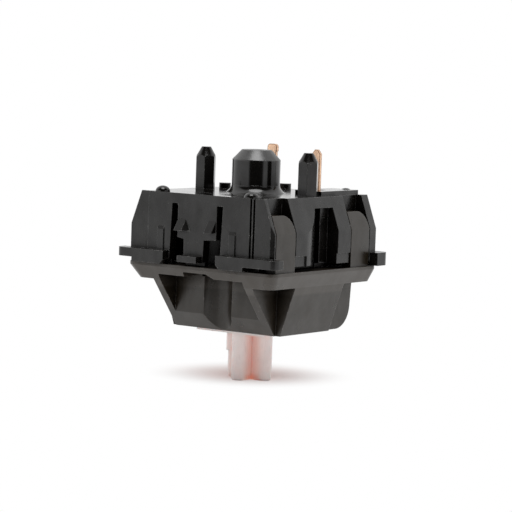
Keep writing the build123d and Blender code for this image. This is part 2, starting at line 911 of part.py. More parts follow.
def build_contact_leaf():
    """Thin bent strip with a T-shaped free end."""
    z_root = z_floor - leaf_root_drop
    front = leaf_front()
    back_y = terminal_y
    t = leaf_thickness
    z_bend = z_root - leaf_foot
    z_straight = z_bend - leaf_slope
    low, high = leaf_bar_z()
    strip = prism(
        "x",
        [
            (back_y, z_root),
            (back_y - t, z_root),
            (back_y - t, z_bend),
            (front, z_straight),
            (front, low),
            (front + t, low),
            (front + t, z_straight),
            (back_y, z_bend),
        ],
        -leaf_neck_half,
        leaf_neck_half,
    )
    bar = block((-leaf_bar_half, leaf_bar_half), (front, front + t), (low, high))
    bar = fillet(bar.edges().filter_by(Axis.Y), leaf_bar_corner)
    return strip + bar


def build_crosspoint(y, towards, along):
    """Small contact bar with a sloped top, on a sheet's face at y."""
    half = crosspoint_size / 2
    reach = crosspoint_length / 2
    if along == "x":
        outline = [
            (y, crosspoint_z - half),
            (y + towards * crosspoint_depth, crosspoint_z - crosspoint_ridge),
            (y + towards * crosspoint_depth, crosspoint_z + crosspoint_ridge),
            (y, crosspoint_z + half),
        ]
        return prism("x", outline, -reach, reach)
    outline = [
        (-half, y),
        (-crosspoint_ridge, y + towards * crosspoint_depth),
        (crosspoint_ridge, y + towards * crosspoint_depth),
        (half, y),
    ]
    reach = leaf_bar_height / 2
    return prism("z", outline, crosspoint_z - reach, crosspoint_z + reach)


def main():
    os.makedirs("parts", exist_ok=True)
    nodes = {
        "bottom_housing": build_bottom_housing(),
        "top_housing": build_top_housing(),
        "stem": build_stem(),
        "return_spring": build_spring(),
        "fixed_contact": build_fixed_contact(),
        "fixed_crosspoint": build_crosspoint(fixed_y + sheet, 1, "x"),
        "leaf_terminal": build_leaf_terminal(),
        "contact_leaf": build_contact_leaf(),
        "leaf_crosspoint": build_crosspoint(leaf_front(), -1, "z"),
    }
    for name, shape in nodes.items():
        export_step(shape, f"parts/{name}.step")
    swing = (contact_gap - closed_gap) / (z_floor - leaf_root_drop - crosspoint_z)
    print("leaf swings", round(math.degrees(swing), 3), "degrees about z", z_floor - leaf_root_drop)


main()
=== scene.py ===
import json
import math

import bpy
from bpy.props import FloatProperty, FloatVectorProperty, IntProperty, PointerProperty
from mathutils import Matrix, Vector


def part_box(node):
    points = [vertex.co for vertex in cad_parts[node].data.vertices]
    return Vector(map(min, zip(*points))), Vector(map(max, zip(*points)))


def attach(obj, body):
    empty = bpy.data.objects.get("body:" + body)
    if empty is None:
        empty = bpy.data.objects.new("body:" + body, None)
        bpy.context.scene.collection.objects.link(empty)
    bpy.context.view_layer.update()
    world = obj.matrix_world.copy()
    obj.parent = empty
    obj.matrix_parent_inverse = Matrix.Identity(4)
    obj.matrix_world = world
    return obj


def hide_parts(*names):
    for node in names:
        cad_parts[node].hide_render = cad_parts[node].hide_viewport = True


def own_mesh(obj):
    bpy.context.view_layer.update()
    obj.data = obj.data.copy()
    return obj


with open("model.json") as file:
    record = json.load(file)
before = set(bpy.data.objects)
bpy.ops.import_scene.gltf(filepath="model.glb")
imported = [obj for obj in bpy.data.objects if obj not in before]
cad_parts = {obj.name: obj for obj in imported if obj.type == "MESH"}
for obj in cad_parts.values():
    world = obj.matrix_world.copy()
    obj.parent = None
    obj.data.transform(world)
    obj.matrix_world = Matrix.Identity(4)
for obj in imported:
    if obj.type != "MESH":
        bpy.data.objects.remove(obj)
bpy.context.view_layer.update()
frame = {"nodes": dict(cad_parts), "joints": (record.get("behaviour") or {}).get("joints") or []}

bl_info = {
    "name": "Key Switch Dressing",
    "version": (1, 0, 0),
    "blender": (4, 5, 0),
    "location": "View3D > Sidebar > Key Switch",
    "description": "Gives a keyboard switch its moulded, wound and stamped finishes and sets a pale stage",
    "category": "Object",
}

MM = 0.001
BOARD_SIDE = 14.95 * MM  # height of the bottom housing's board side
NOWHERE = 1.0  # a level in metres, far above the switch, that leaves its mark out


# Values of the finishes that a user has no need to change.
# Each pattern is a noise of one size, which a stretch below 1 draws out along that axis. Where it makes a
# mark, "between" holds the value from which the mark fades in and the value at which it is full. A share
# says how much of a mark's colour shows.

NEARBY_RAYS = 6  # with which an edge or a hollow is found
EDGE_COSINES = (0.995, 0.85)  # between the true and the rounded normal, where an edge begins and is full

NYLON_REFRACTION = 1.53
MOTTLE = {"size": 2.2 * MM, "detail": 3.0, "roughness": 0.6}
MOTTLE_RANGE = (0.3, 0.7)
FLOW_LINES = {"size": 0.7 * MM, "stretch": (1.0, 1.0, 0.22)}
SINK_MARKS = {"size": 1.6 * MM, "detail": 1.0}
GRAIN = {"detail": 3.0, "roughness": 0.65}
SCUFFS = {
    "between": (0.64, 0.74),
    "size": 0.9 * MM,
    "detail": 4.0,
    "roughness": 0.7,
    "stretch": (1.0, 0.5, 6.0),
}
SMEARS = {
    "between": (0.35, 0.65),
    "to": (0.84, 1.12),  # times the shine
    "size": 1.3 * MM,
    "detail": 4.0,
    "roughness": 0.6,
    "stretch": (1.0, 1.0, 0.6),
}
NICKS = {"between": (0.56, 0.64), "size": 0.45 * MM, "detail": 3.0, "roughness": 0.7}
DUSTY_PLACES = {"between": (0.52, 0.62), "size": 1.4 * MM}
SPECK_SPACING = 0.75 * MM
SPECK_RIM = (0.045, 0.03)  # distances from a speck's middle, in spacings, between which it fades
HOLLOW_RANGE = (0.75, 0.3)  # how open a hollow's mouth and its depth are, 1 for a flat face

NICK_COLOUR = (0.4, 0.39, 0.38)
DUST_COLOUR = (0.3, 0.29, 0.28)
# painted shade: the colour laid into hollows, where shade falls
HOLLOW_SHADE_COLOUR = (0.0015, 0.0009, 0.0005)
# painted light: a paler band on the rim, whose faces get more light
RIM_LIGHT_SHARE = 0.2
NICK_SHARE = 0.6
DUST_SHARE = 0.4
SCUFF_SHARE = 0.1

RIM_BLEND = 0.1 * MM
POLISH_BLEND = 0.02 * MM
TIP_RISE = (-0.1 * MM, 0.05 * MM)  # heights from the tip's level between which its grain comes in
TIP_REACH = (2.3 * MM, 2.1 * MM)  # from the post's axis

MOTTLE_PART = 0.6  # of the roughness, with flow lines for the rest
ROUGH_RANGE = (0.35, 0.65)
SCUFF_ROUGHNESS = 0.12
TIP_ROUGHNESS = 0.1
GRAIN_PART = 0.75  # of the relief, with flow lines for the rest
GRAIN_SLOPE = 0.12  # depth for each unit of the grain's size
TIP_GRAIN = 2.0  # times the grain's strength
POLISHED_GRAIN = 0.1  # times the grain's strength
TIP_SHINE = 2.0  # times the shine

ACETAL_REFRACTION = 1.48
MILKY_CLOUDS = {"between": (0.35, 0.65), "size": 0.9 * MM, "detail": 3.0, "roughness": 0.6}
MILKY_STREAKS = {"size": 0.5 * MM, "detail": 3.0, "roughness": 0.6, "stretch": (4.0, 4.0, 0.5)}
MILKY_GRAIN = {"size": 0.05 * MM}
STREAK_RANGE = (0.3, 0.7)
STREAK_PART = 0.6  # of the relief, with fine grain for the rest
STREAK_ROUGHNESS = 0.12
MILKY_RELIEF = {"Strength": 0.35, "Distance": 0.006 * MM}
CORE_SHARE = 0.9
CORE_FULL = 0.5  # of the core's radius, within which it is at its reddest
STEM_EDGE_COLOUR = (0.9, 0.84, 0.82)
STEM_EDGE_SHARE = 0.25
GLOW_BY_COLOUR = (1.0, 0.78, 0.74)  # of the glow's depth, for red, green and blue

METAL_LINES = {"size": 0.06 * MM, "detail": 3.0, "roughness": 0.6}
LINE_RANGE = (0.3, 0.7)
LINE_ROUGHNESS = 0.14
TARNISH = {"between": (0.45, 0.7), "size": 0.7 * MM, "detail": 4.0, "roughness": 0.65}
TARNISH_SHARE = 0.25
TARNISH_ROUGHNESS = 0.1
# painted shade: share of the dark colour laid on the metal's edges
EDGE_SHADE_SHARE = 0.85
METAL_RELIEF = {"Strength": 0.25, "Distance": 0.003 * MM}
ROLLED_LENGTHWISE = (1.0, 1.0, 0.06)
ROLLED_CROSSWISE = (0.1, 1.0, 1.0)
DRAWN_WIRE = (1.0, 1.0, 1.0)
GOLD_SMOOTHER = 0.08  # taken from the copper's roughness
# the spring's tarnish and the painted shade on its edges
STEEL_TARNISH_AND_SHADE = (0.35, 0.33, 0.31)


# Values of the pieces and the stage that a user has no need to change

SKIRT_CREASE = math.radians(40)  # the angle from which an edge of the skirt stays sharp

WHITE = (1.0, 1.0, 1.0, 1.0)
FLOOR_COLOUR = (0.95, 0.94, 0.94)
SHADOW_TINT = (0.90, 0.75, 0.72)  # of the light that comes through the stem
TINT_REACH = (4.0 * MM, 11.0 * MM)  # from the shadow's middle, where the tint begins to fade and is gone
ROOM_HEIGHT = 0.12  # of the dark room's middle, for each unit forwards
ROOM_RIM = (0.77, 0.87)  # cosines from the room's middle, between which it darkens
BAND_FOOT = (0.3, 0.5)  # sines of the heights between which the dark band over the room begins
BAND_TOP = (0.95, 0.88)  # sines of the heights between which it ends
BAND_SIDES = (-0.15, 0.15)  # cosines from straight ahead, between which it comes in
LAMP_PLACE = Vector((42.0, -56.0, 350.0)) * MM
LAMP_TARGET = Vector((0.0, 0.0, 10.0)) * MM
SENSOR_MILLIMETRES = 36.0
CAMERA_SEES = (0.01, 20.0)  # metres from the camera


# Shader and node helpers


class NodeWriter:
    """Adds nodes to one tree and joins them."""

    def __init__(self, tree):
        self.tree = tree
        tree.nodes.clear()

    def add(self, kind, inputs=None, **settings):
        node = self.tree.nodes.new(kind)
        for name, value in settings.items():
            setattr(node, name, value)
        for name, value in (inputs or {}).items():
            self.feed(node.inputs[name], value)
        return node

    def feed(self, socket, value):
        if isinstance(value, bpy.types.NodeSocket):
            self.tree.links.new(value, socket)
        else:
            socket.default_value = value

    def math(self, operation, first, second=None, clamp=False):
        node = self.add("ShaderNodeMath", operation=operation, use_clamp=clamp)
        self.feed(node.inputs[0], first)
        if second is not None:
            self.feed(node.inputs[1], second)
        return node.outputs[0]

    def plus(self, first, second):
        return self.math("ADD", first, second)

    def minus(self, first, second, clamp=False):
        return self.math("SUBTRACT", first, second, clamp)

    def times(self, first, second):
        return self.math("MULTIPLY", first, second)

    def vector_math(self, operation, first, second):
        node = self.add("ShaderNodeVectorMath", operation=operation)
        self.feed(node.inputs[0], first)
        self.feed(node.inputs[1], second)
        return node.outputs["Value"] if operation == "DOT_PRODUCT" else node.outputs[0]

    def mapped(self, value, low, high, to_low=0.0, to_high=1.0, smooth=False):
        node = self.add(
            "ShaderNodeMapRange",
            {"Value": value, "From Min": low, "From Max": high, "To Min": to_low, "To Max": to_high},
            interpolation_type="SMOOTHSTEP" if smooth else "LINEAR",
        )
        return node.outputs["Result"]

    def mixed(self, factor, first, second):
        """Colour between two, each a socket or three numbers."""
        node = self.add("ShaderNodeMix", data_type="RGBA")
        self.feed(node.inputs[0], factor)
        for socket, colour in ((node.inputs[6], first), (node.inputs[7], second)):
            self.feed(socket, colour if isinstance(colour, bpy.types.NodeSocket) else (*colour, 1.0))
        return node.outputs[2]

    def mixed_shader(self, factor, first, second):
        node = self.add("ShaderNodeMixShader")
        for socket, value in zip(node.inputs, (factor, first, second)):
            self.feed(socket, value)
        return node.outputs["Shader"]

    def finish(self, kind, surface):
        """Joins a shader to a new output node."""
        self.feed(self.add(kind).inputs["Surface"], surface)


def new_material(name):
    """Empty node material and its writer."""
    material = bpy.data.materials.new(name)
    material.use_nodes = True
    return material, NodeWriter(material.node_tree)


def object_point(w, stretch=(1.0, 1.0, 1.0)):
    """The point on the piece, in its own coordinates, stretched."""
    coordinates = w.add("ShaderNodeTexCoord")
    mapping = w.add("ShaderNodeMapping", {"Vector": coordinates.outputs["Object"], "Scale": stretch})
    return mapping.outputs["Vector"]


def noise(w, size, detail=2.0, roughness=0.5, stretch=(1.0, 1.0, 1.0)):
    """Noise from 0 to 1 with features of about one size."""
    node = w.add(
        "ShaderNodeTexNoise",
        {"Vector": object_point(w, stretch), "Scale": 1.0 / size, "Detail": detail, "Roughness": roughness},
    )
    return node.outputs["Fac"]


def marks(w, between, to=(0.0, 1.0), **cloud):
    """Mask from 0 to 1 of the marks that a noise makes, or another range of values."""
    return w.mapped(noise(w, **cloud), *between, *to)


def blended(w, first, second, part):
    """A part of one value and the rest of another."""
    return w.plus(w.times(first, part), w.times(second, 1.0 - part))


def edge_mask(w, radius):
    """1 on edges that stand out or fold in, 0 on flats, and the rounded normal."""
    rounded = w.add("ShaderNodeBevel", {"Radius": radius}, samples=NEARBY_RAYS)
    flat = w.add("ShaderNodeNewGeometry")
    cosine = w.vector_math("DOT_PRODUCT", rounded.outputs["Normal"], flat.outputs["True Normal"])
    return w.mapped(cosine, *EDGE_COSINES), rounded.outputs["Normal"]


def hollow_shade_mask(w, reach):
    """1 in the depth of a hollow, 0 on open faces: where shade is painted into hollows."""
    hidden = w.add("ShaderNodeAmbientOcclusion", {"Distance": reach}, samples=NEARBY_RAYS)
    return w.mapped(hidden.outputs["AO"], *HOLLOW_RANGE, smooth=True)


def relief(w, height, normal, **depth):
    """Normal of a surface that a height raises."""
    return w.add("ShaderNodeBump", {"Height": height, "Normal": normal, **depth}).outputs["Normal"]


def shaded(w, colour, roughness, normal, **inputs):
    """Joins a Principled shader to the material's output."""
    shader = w.add(
        "ShaderNodeBsdfPrincipled",
        {"Base Color": colour, "Roughness": roughness, "Normal": normal, **inputs},
    )
    w.finish("ShaderNodeOutputMaterial", shader.outputs["BSDF"])
    return shader


def across_axis(w, point):
    """Distance of a point from its Z axis, and its height."""
    parts = w.add("ShaderNodeSeparateXYZ", {"Vector": point})
    squares = [w.math("POWER", parts.outputs[axis], 2.0) for axis in ("X", "Y")]
    return w.math("SQRT", w.plus(*squares)), parts.outputs["Z"]


# Moulded nylon of the two housings


def level_masks(w, look):
    """Masks of the polished board side, of the post's grainy tip and of the rim's band of painted light."""
    across, level = across_axis(w, object_point(w))
    above = w.mapped(level, look.polish_level - POLISH_BLEND, look.polish_level)
    tip_height = w.mapped(level, *[look.tip_level + rise for rise in TIP_RISE])
    tip = w.times(tip_height, w.mapped(across, *TIP_REACH))
    over = w.mapped(level, look.rim_light_low - RIM_BLEND, look.rim_light_low + RIM_BLEND)
    under = w.mapped(level, look.rim_light_high + RIM_BLEND, look.rim_light_high - RIM_BLEND)
    return w.minus(above, tip, clamp=True), tip, w.times(over, under)


def dust_mask(w):
    """Specks of dust, in some places only."""
    cells = {"Vector": object_point(w), "Scale": 1.0 / SPECK_SPACING, "Randomness": 1.0}
    distance = w.add("ShaderNodeTexVoronoi", cells).outputs["Distance"]
    return w.times(w.mapped(distance, *SPECK_RIM), marks(w, **DUSTY_PLACES))


def nylon_colour(w, look, mottle, rim, edge, scuffs, hollow):
    """Mottled plastic with painted light on the rim, painted highlights on the edges, nicks, dust, scuffs
    and painted shade in hollows laid over it in turn.
    """
    colour = w.mixed(w.mapped(mottle, *MOTTLE_RANGE), look.colour, look.light_colour)
    nicks = w.times(edge, marks(w, **NICKS))
    for mask, share, tint in (
        # painted light on the rim's band
        (rim, RIM_LIGHT_SHARE, look.painted_light_and_scuff_colour),
        # painted highlight on the edges
        (edge, look.edge_highlight, look.painted_light_and_scuff_colour),
        (nicks, NICK_SHARE, NICK_COLOUR),
        (dust_mask(w), DUST_SHARE, DUST_COLOUR),
        (scuffs, SCUFF_SHARE, look.painted_light_and_scuff_colour),
        # painted shade in hollows
        (hollow, look.hollow_shade, HOLLOW_SHADE_COLOUR),
    ):
        colour = w.mixed(w.times(mask, share), colour, tint)
    return colour


def nylon_roughness(w, look, mottle, flow, scuffs, polished, tip):
    """Rougher in the mottle, in scuffs and on the tip, smoother where the mould was polished."""
    uneven = w.mapped(blended(w, mottle, flow, MOTTLE_PART), *ROUGH_RANGE)
    roughness = w.plus(w.times(uneven, look.roughness_range), look.roughness)
    roughness = w.plus(roughness, w.times(scuffs, SCUFF_ROUGHNESS))
    roughness = w.times(roughness, w.mapped(polished, 0.0, 1.0, 1.0, look.polish))
    return w.plus(roughness, w.times(tip, TIP_ROUGHNESS))


def nylon_relief(w, look, flow, rounded, polished, tip):
    """Rounded edges, shallow sink marks and the mould's grain."""
    sunk = relief(w, noise(w, **SINK_MARKS), rounded, Strength=1.0, Distance=look.sink_depth)
    height = blended(w, noise(w, look.grain_size, **GRAIN), flow, GRAIN_PART)
    from_tip, to_polished = (look.grain_strength * times for times in (TIP_GRAIN, POLISHED_GRAIN))
    strength = w.mapped(w.minus(polished, tip), -1.0, 1.0, from_tip, to_polished)
    return relief(w, height, sunk, Strength=strength, Distance=look.grain_size * GRAIN_SLOPE)


def nylon_shine(w, look, hollow, tip):
    """Reflection, weaker in smears, weaker in hollows as painted shade, and stronger on the tip."""
    shine = w.times(marks(w, **SMEARS), look.shine)
    shine = w.times(shine, w.mapped(hollow, 0.0, 1.0, 1.0, 1.0 - look.hollow_shade))
    return w.times(shine, w.mapped(tip, 0.0, 1.0, 1.0, TIP_SHINE))


def moulded_nylon(name, look):
    """Moulded nylon: grain, sink marks, dust, scuffs, softened edges and polished places, with painted
    highlights on edges, painted light on the rim and painted shade in hollows.
    """
    material, w = new_material(name)
    edge, rounded = edge_mask(w, look.edge_radius)
    mottle = noise(w, **MOTTLE)
    flow = noise(w, **FLOW_LINES)
    scuffs = marks(w, **SCUFFS)
    # mask of the painted shade in hollows, from how hidden each point is
    hollow = hollow_shade_mask(w, look.hollow_reach)
    polished, tip, rim = level_masks(w, look)
    shaded(
        w,
        nylon_colour(w, look, mottle, rim, edge, scuffs, hollow),
        nylon_roughness(w, look, mottle, flow, scuffs, polished, tip),
        nylon_relief(w, look, flow, rounded, polished, tip),
        **{"IOR": NYLON_REFRACTION, "Specular IOR Level": nylon_shine(w, look, hollow, tip)},
    )
    return material


# Milky plastic of the stem


def milky_colour(w, look, edge):
    """Pale mottled plastic, redder near its core and reddest at its foot."""
    across, level = across_axis(w, object_point(w))
    core = w.mapped(across, look.core_radius, look.core_radius * CORE_FULL, smooth=True)
    foot = w.mapped(level, look.foot_height, 0.0, smooth=True)
    pale = w.mixed(marks(w, **MILKY_CLOUDS), look.pale_colour, look.grey_colour)
    warmer = w.mixed(w.times(core, CORE_SHARE), pale, look.core_colour)
    red = w.mixed(w.times(core, foot), warmer, look.foot_colour)
    return w.mixed(w.times(edge, STEM_EDGE_SHARE), red, STEM_EDGE_COLOUR)


def milky_acetal(name, look):
    """Milky moulded acetal that light goes through."""
    material, w = new_material(name)
    edge, rounded = edge_mask(w, look.edge_radius)
    streaks = noise(w, **MILKY_STREAKS)
    height = blended(w, streaks, noise(w, **MILKY_GRAIN), STREAK_PART)
    shader = shaded(
        w,
        milky_colour(w, look, edge),
        w.mapped(streaks, *STREAK_RANGE, look.roughness, look.roughness + STREAK_ROUGHNESS),
        relief(w, height, rounded, **MILKY_RELIEF),
        **{
            "IOR": ACETAL_REFRACTION,
            "Subsurface Weight": 1.0,
            "Subsurface Radius": GLOW_BY_COLOUR,
            "Subsurface Scale": look.glow_depth,
        },
    )
    shader.subsurface_method = "RANDOM_WALK"
    return material


# Metal of the contacts and the spring


def worked_metal(name, colour, tarnish_and_shade_colour, roughness, stretch, edge_radius=0.06 * MM):
    """Rolled or drawn metal: fine lines along its length, tarnish, and painted shade that darkens its
    edges.
    """
    material, w = new_material(name)
    edge, rounded = edge_mask(w, edge_radius)
    lines = noise(w, **METAL_LINES, stretch=stretch)
    tarnish = marks(w, **TARNISH)
    tarnished = w.mixed(w.times(tarnish, TARNISH_SHARE), colour, tarnish_and_shade_colour)
    lined = w.mapped(lines, *LINE_RANGE, roughness, roughness + LINE_ROUGHNESS)
    shaded(
        w,
        # painted shade on the edges
        w.mixed(w.times(edge, EDGE_SHADE_SHARE), tarnished, tarnish_and_shade_colour),
        w.plus(lined, w.times(tarnish, TARNISH_ROUGHNESS)),
        relief(w, lines, rounded, **METAL_RELIEF),
        Metallic=1.0,
    )
    return material


def give_material(piece, material):
    """Puts one material on a piece."""
    piece.data.materials.clear()
    piece.data.materials.append(material)


# Sizes and colours that a user may change


def colour_property(name, description, default):
    return FloatVectorProperty(
        name=name, description=description, default=default, size=3, subtype="COLOR", min=0.0, max=1.0
    )


def length_property(name, description, default):
    return FloatProperty(name=name, description=description, default=default, unit="LENGTH", precision=6)


def share_property(name, description, default):
    return FloatProperty(
        name=name, description=description, default=default, min=0.0, max=1.0, subtype="FACTOR"
    )


def angle_property(name, description, degrees):
    return FloatProperty(name=name, description=description, default=math.radians(degrees), subtype="ANGLE")


class PlasticLook(bpy.types.PropertyGroup):
    """Finish of one moulded housing."""

    colour: colour_property("Colour", "Dark of the mottle", (0.0033, 0.0028, 0.0023))
    light_colour: colour_property("Light colour", "Light of the mottle", (0.0058, 0.0051, 0.0043))
    # colour of the painted light on the rim, of the painted highlight on edges and of the real scuffs
    painted_light_and_scuff_colour: colour_property("Edge colour", "Rubbed edges and scuffs", (0.15, 0.147, 0.142))
    # how much painted highlight the edges get
    edge_highlight: share_property("Edge wear", "How much of the edge colour shows", 0.4)
    edge_radius: length_property("Edge radius", "Softening of the moulded edges", 0.07 * MM)
    grain_size: length_property("Grain size", "Size of the mould's grain", 0.075 * MM)
    grain_strength: share_property("Grain strength", "Depth of the mould's grain", 0.09)
    roughness: share_property("Roughness", "Roughness of the smoothest flats", 0.2)
    roughness_range: share_property("Roughness range", "Added in the roughest places", 0.12)
    shine: share_property("Shine", "Strength of the reflection", 0.48)
    # a paler band on the rim: painted light where its faces get more light
    rim_light_low: length_property("Rim low", "Where a paler, rubbed rim begins", NOWHERE)
    rim_light_high: length_property("Rim high", "Where the paler rim ends", NOWHERE)
    # the painted shade in hollows: darker colour and weaker reflection where walls are near
    hollow_reach: length_property("Hollow reach", "How near a wall darkens a hollow", 3.0 * MM)
    hollow_shade: share_property("Hollow dark", "How dark hollows get", 0.8)
    sink_depth: length_property("Sink depth", "Depth of the shallow sink marks", 0.012 * MM)
    polish: share_property("Polish", "Share of the roughness left above the polish level", 0.5)
    polish_level: length_property("Polish level", "The mould is polished above it", BOARD_SIDE - 0.05 * MM)
    tip_level: length_property("Tip level", "Height above which the post is grainy again", 17.55 * MM)


class StemLook(bpy.types.PropertyGroup):
    """Finish of the milky stem."""

    pale_colour: colour_property("Pale colour", "Plastic where light comes through", (0.91, 0.82, 0.80))
    grey_colour: colour_property("Grey colour", "Plastic in the dark of its mottle", (0.86, 0.77, 0.75))
    core_colour: colour_property("Core colour", "Plastic near its core", (0.93, 0.70, 0.64))
    foot_colour: colour_property("Foot colour", "Core near the foot", (0.88, 0.42, 0.32))
    foot_height: length_property("Foot height", "Height of the redder foot", 0.7 * MM)
    core_radius: length_property("Core radius", "Reach of the redder core", 1.95 * MM)
    edge_radius: length_property("Edge radius", "Softening of the moulded edges", 0.09 * MM)
    glow_depth: length_property("Glow depth", "How far light goes into the plastic", 1.3 * MM)
    roughness: share_property("Roughness", "Roughness of the smoothest places", 0.24)


class MetalLook(bpy.types.PropertyGroup):
    """Colours of the stamped contacts and the spring."""

    copper: colour_property("Copper", "Fresh copper alloy", (0.96, 0.65, 0.45))
    # also the painted shade on the edges of the copper and gold
    tarnish: colour_property("Tarnish", "Tarnished copper alloy", (0.22, 0.085, 0.04))
    gold: colour_property("Gold", "Contact bars", (0.90, 0.66, 0.30))
    steel: colour_property("Steel", "Spring wire", (0.62, 0.61, 0.60))
    # reach of the painted shade on the contacts' edges
    edge_shade_reach: length_property("Sheared edge", "Reach of the dark sheared edges", 0.18 * MM)
    roughness: share_property("Roughness", "Roughness along the rolled lines", 0.22)


class SkirtSizes(bpy.types.PropertyGroup):
    """Sizes of the skirt round the centre post's foot."""

    post_radius: length_property("Post radius", "Radius of the centre post", 1.93 * MM)
    flare: length_property("Flare", "How far the skirt spreads", 0.46 * MM)
    height: length_property("Height", "Above the board side", 0.62 * MM)
    level: length_property("Level", "Height of the board side", BOARD_SIDE)
    root: length_property("Root", "How deep it sits in the board side and the post", 0.05 * MM)
    curve: FloatProperty(name="Curve", description="1 for a straight cone", default=2.0, min=1.0)
    rings: IntProperty(name="Rings", description="Steps up its curve", default=12, min=2)
    steps: IntProperty(name="Steps", description="Steps round the post", default=96, min=8)


class DomeSizes(bpy.types.PropertyGroup):
    """Sizes of the four small domes on the board side."""

    radius: length_property("Radius", "Of a dome's foot", 0.58 * MM)
    height: length_property("Height", "Above the board side", 0.45 * MM)
    spacing_x: length_property("Spacing along X", "Between two domes", 8.70 * MM)
    spacing_y: length_property("Spacing along Y", "Between two domes", 12.76 * MM)
    level: length_property("Level", "Height of the board side", BOARD_SIDE)
    root: length_property("Root", "How deep a dome's foot sits in the housing", 0.05 * MM)


spring_low, spring_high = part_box("return_spring")
stem_travel = next(joint["range_m"][1] for joint in frame["joints"] if joint["name"] == "stem_slide")


class SpringSizes(bpy.types.PropertyGroup):
    """Sizes of the coiled return spring."""

    coil_radius: length_property("Coil radius", "Radius of the wire's middle line", 1.85 * MM)
    wire_radius: length_property("Wire radius", "Half the wire's thickness", 0.10 * MM)
    low: length_property("Low end", "Height of the coil's end in the stem", spring_low.z)
    high: length_property("High end", "Height of the coil's end at the floor", spring_high.z)
    travel: length_property("Travel", "How far the stem presses the spring", stem_travel)
    turns: FloatProperty(name="Turns", description="Closed ones included", default=13.0, min=2.0)
    closed_turns: FloatProperty(name="Closed turns", description="At each end", default=1.5, min=0.25)
    steps: IntProperty(name="Steps", description="Steps along the whole wire", default=520, min=40)


class StageSetup(bpy.types.PropertyGroup):
    """Camera, floor and light."""

    azimuth: angle_property("Azimuth", "Turn of the camera round the switch", 36.52)
    elevation: angle_property("Elevation", "Camera's angle above the floor", 5.0)
    roll: angle_property("Roll", "Tilt of the camera to its left", 1.94)
    distance: length_property("Distance", "From the camera to the point it turns round", 201.5 * MM)
    lens: FloatProperty(name="Lens", description="Focal length in millimetres", default=177.17, min=10.0)
    target_height: length_property("Target height", "Height of the point it turns round", 9.25 * MM)
    aim_right: length_property("Aim right", "Aim to the right of that point", 0.234 * MM)
    aim_up: length_property("Aim up", "Aim above that point", 0.594 * MM)
    floor_size: length_property("Floor size", "Side of the floor", 3.0)
    floor_front: length_property("Floor front", "How far the floor reaches towards the camera", 75.0 * MM)
    shadow_shift: length_property("Shadow shift", "How far the shadow lies behind the switch", 2.7 * MM)
    shadow_reach: length_property("Shadow reach", "Where the shadow has faded out", 9.0 * MM)
    sky: FloatProperty(name="Sky", description="Strength of the light from all round", default=1.0, min=0.0)
    dark_side: share_property("Dark side", "What is mirrored of the dark room", 0.03)
    dim_side: share_property("Dim side", "Light that the dark room sends back", 0.42)
    top_lamp: FloatProperty(name="Top lamp", description="Power of the lamp", default=0.56, unit="POWER")
    lamp_width: length_property("Lamp width", "Across the lamp's disk", 220.0 * MM)


# One operator for each piece or group of pieces


class KEYSWITCH_OT_dress_bottom_housing(bpy.types.Operator):
    """Gives the bottom housing its near-black moulded finish"""

    bl_idname = "keyswitch.dress_bottom_housing"
    bl_label = "Dress bottom housing"

    def execute(self, context):
        look = context.scene.bottom_housing_look
        give_material(frame["nodes"]["bottom_housing"], moulded_nylon("bottom_housing_nylon", look))
        return {"FINISHED"}


class KEYSWITCH_OT_dress_top_housing(bpy.types.Operator):
    """Gives the top housing its warmer, lighter moulded finish"""

    bl_idname = "keyswitch.dress_top_housing"
    bl_label = "Dress top housing"

    def execute(self, context):
        look = context.scene.top_housing_look
        look.colour = (0.0132, 0.0090, 0.0042)
        look.light_colour = (0.0200, 0.0146, 0.0088)
        # painted highlight on edges and painted light on the rim, paler and warmer
        look.painted_light_and_scuff_colour = (0.13, 0.115, 0.10)
        look.edge_highlight = 0.5
        look.roughness = 0.26
        look.shine = 0.53
        # the rim's band of painted light
        look.rim_light_low = 7.4 * MM
        look.rim_light_high = 9.3 * MM
        # painted shade in the cover's hollows
        look.hollow_shade = 0.92
        look.polish_level = NOWHERE
        look.tip_level = NOWHERE
        give_material(frame["nodes"]["top_housing"], moulded_nylon("top_housing_nylon", look))
        return {"FINISHED"}


class KEYSWITCH_OT_dress_stem(bpy.types.Operator):
    """Gives the stem its milky, faintly pink plastic"""

    bl_idname = "keyswitch.dress_stem"
    bl_label = "Dress stem"

    def execute(self, context):
        give_material(frame["nodes"]["stem"], milky_acetal("stem_acetal", context.scene.stem_look))
        return {"FINISHED"}


class KEYSWITCH_OT_dress_contacts(bpy.types.Operator):
    """Gives the stamped contacts and their bars copper and gold"""

    bl_idname = "keyswitch.dress_contacts"
    bl_label = "Dress contacts"

    def execute(self, context):
        look = context.scene.metal_look
        rough = look.roughness
        copper = worked_metal(
            "contact_copper", look.copper, look.tarnish, rough, ROLLED_LENGTHWISE, look.edge_shade_reach
        )
        gold = worked_metal(
            "contact_gold", look.gold, look.tarnish, rough - GOLD_SMOOTHER, ROLLED_CROSSWISE
        )
        for name in ("fixed_contact", "leaf_terminal", "contact_leaf"):
            give_material(frame["nodes"][name], copper)
        for name in ("fixed_crosspoint", "leaf_crosspoint"):
            give_material(frame["nodes"][name], gold)
        return {"FINISHED"}


def piece_of(name, mesh):
    """Object at the origin that holds a finished mesh."""
    piece = bpy.data.objects.new(name, mesh)
    bpy.context.scene.collection.objects.link(piece)
    return piece


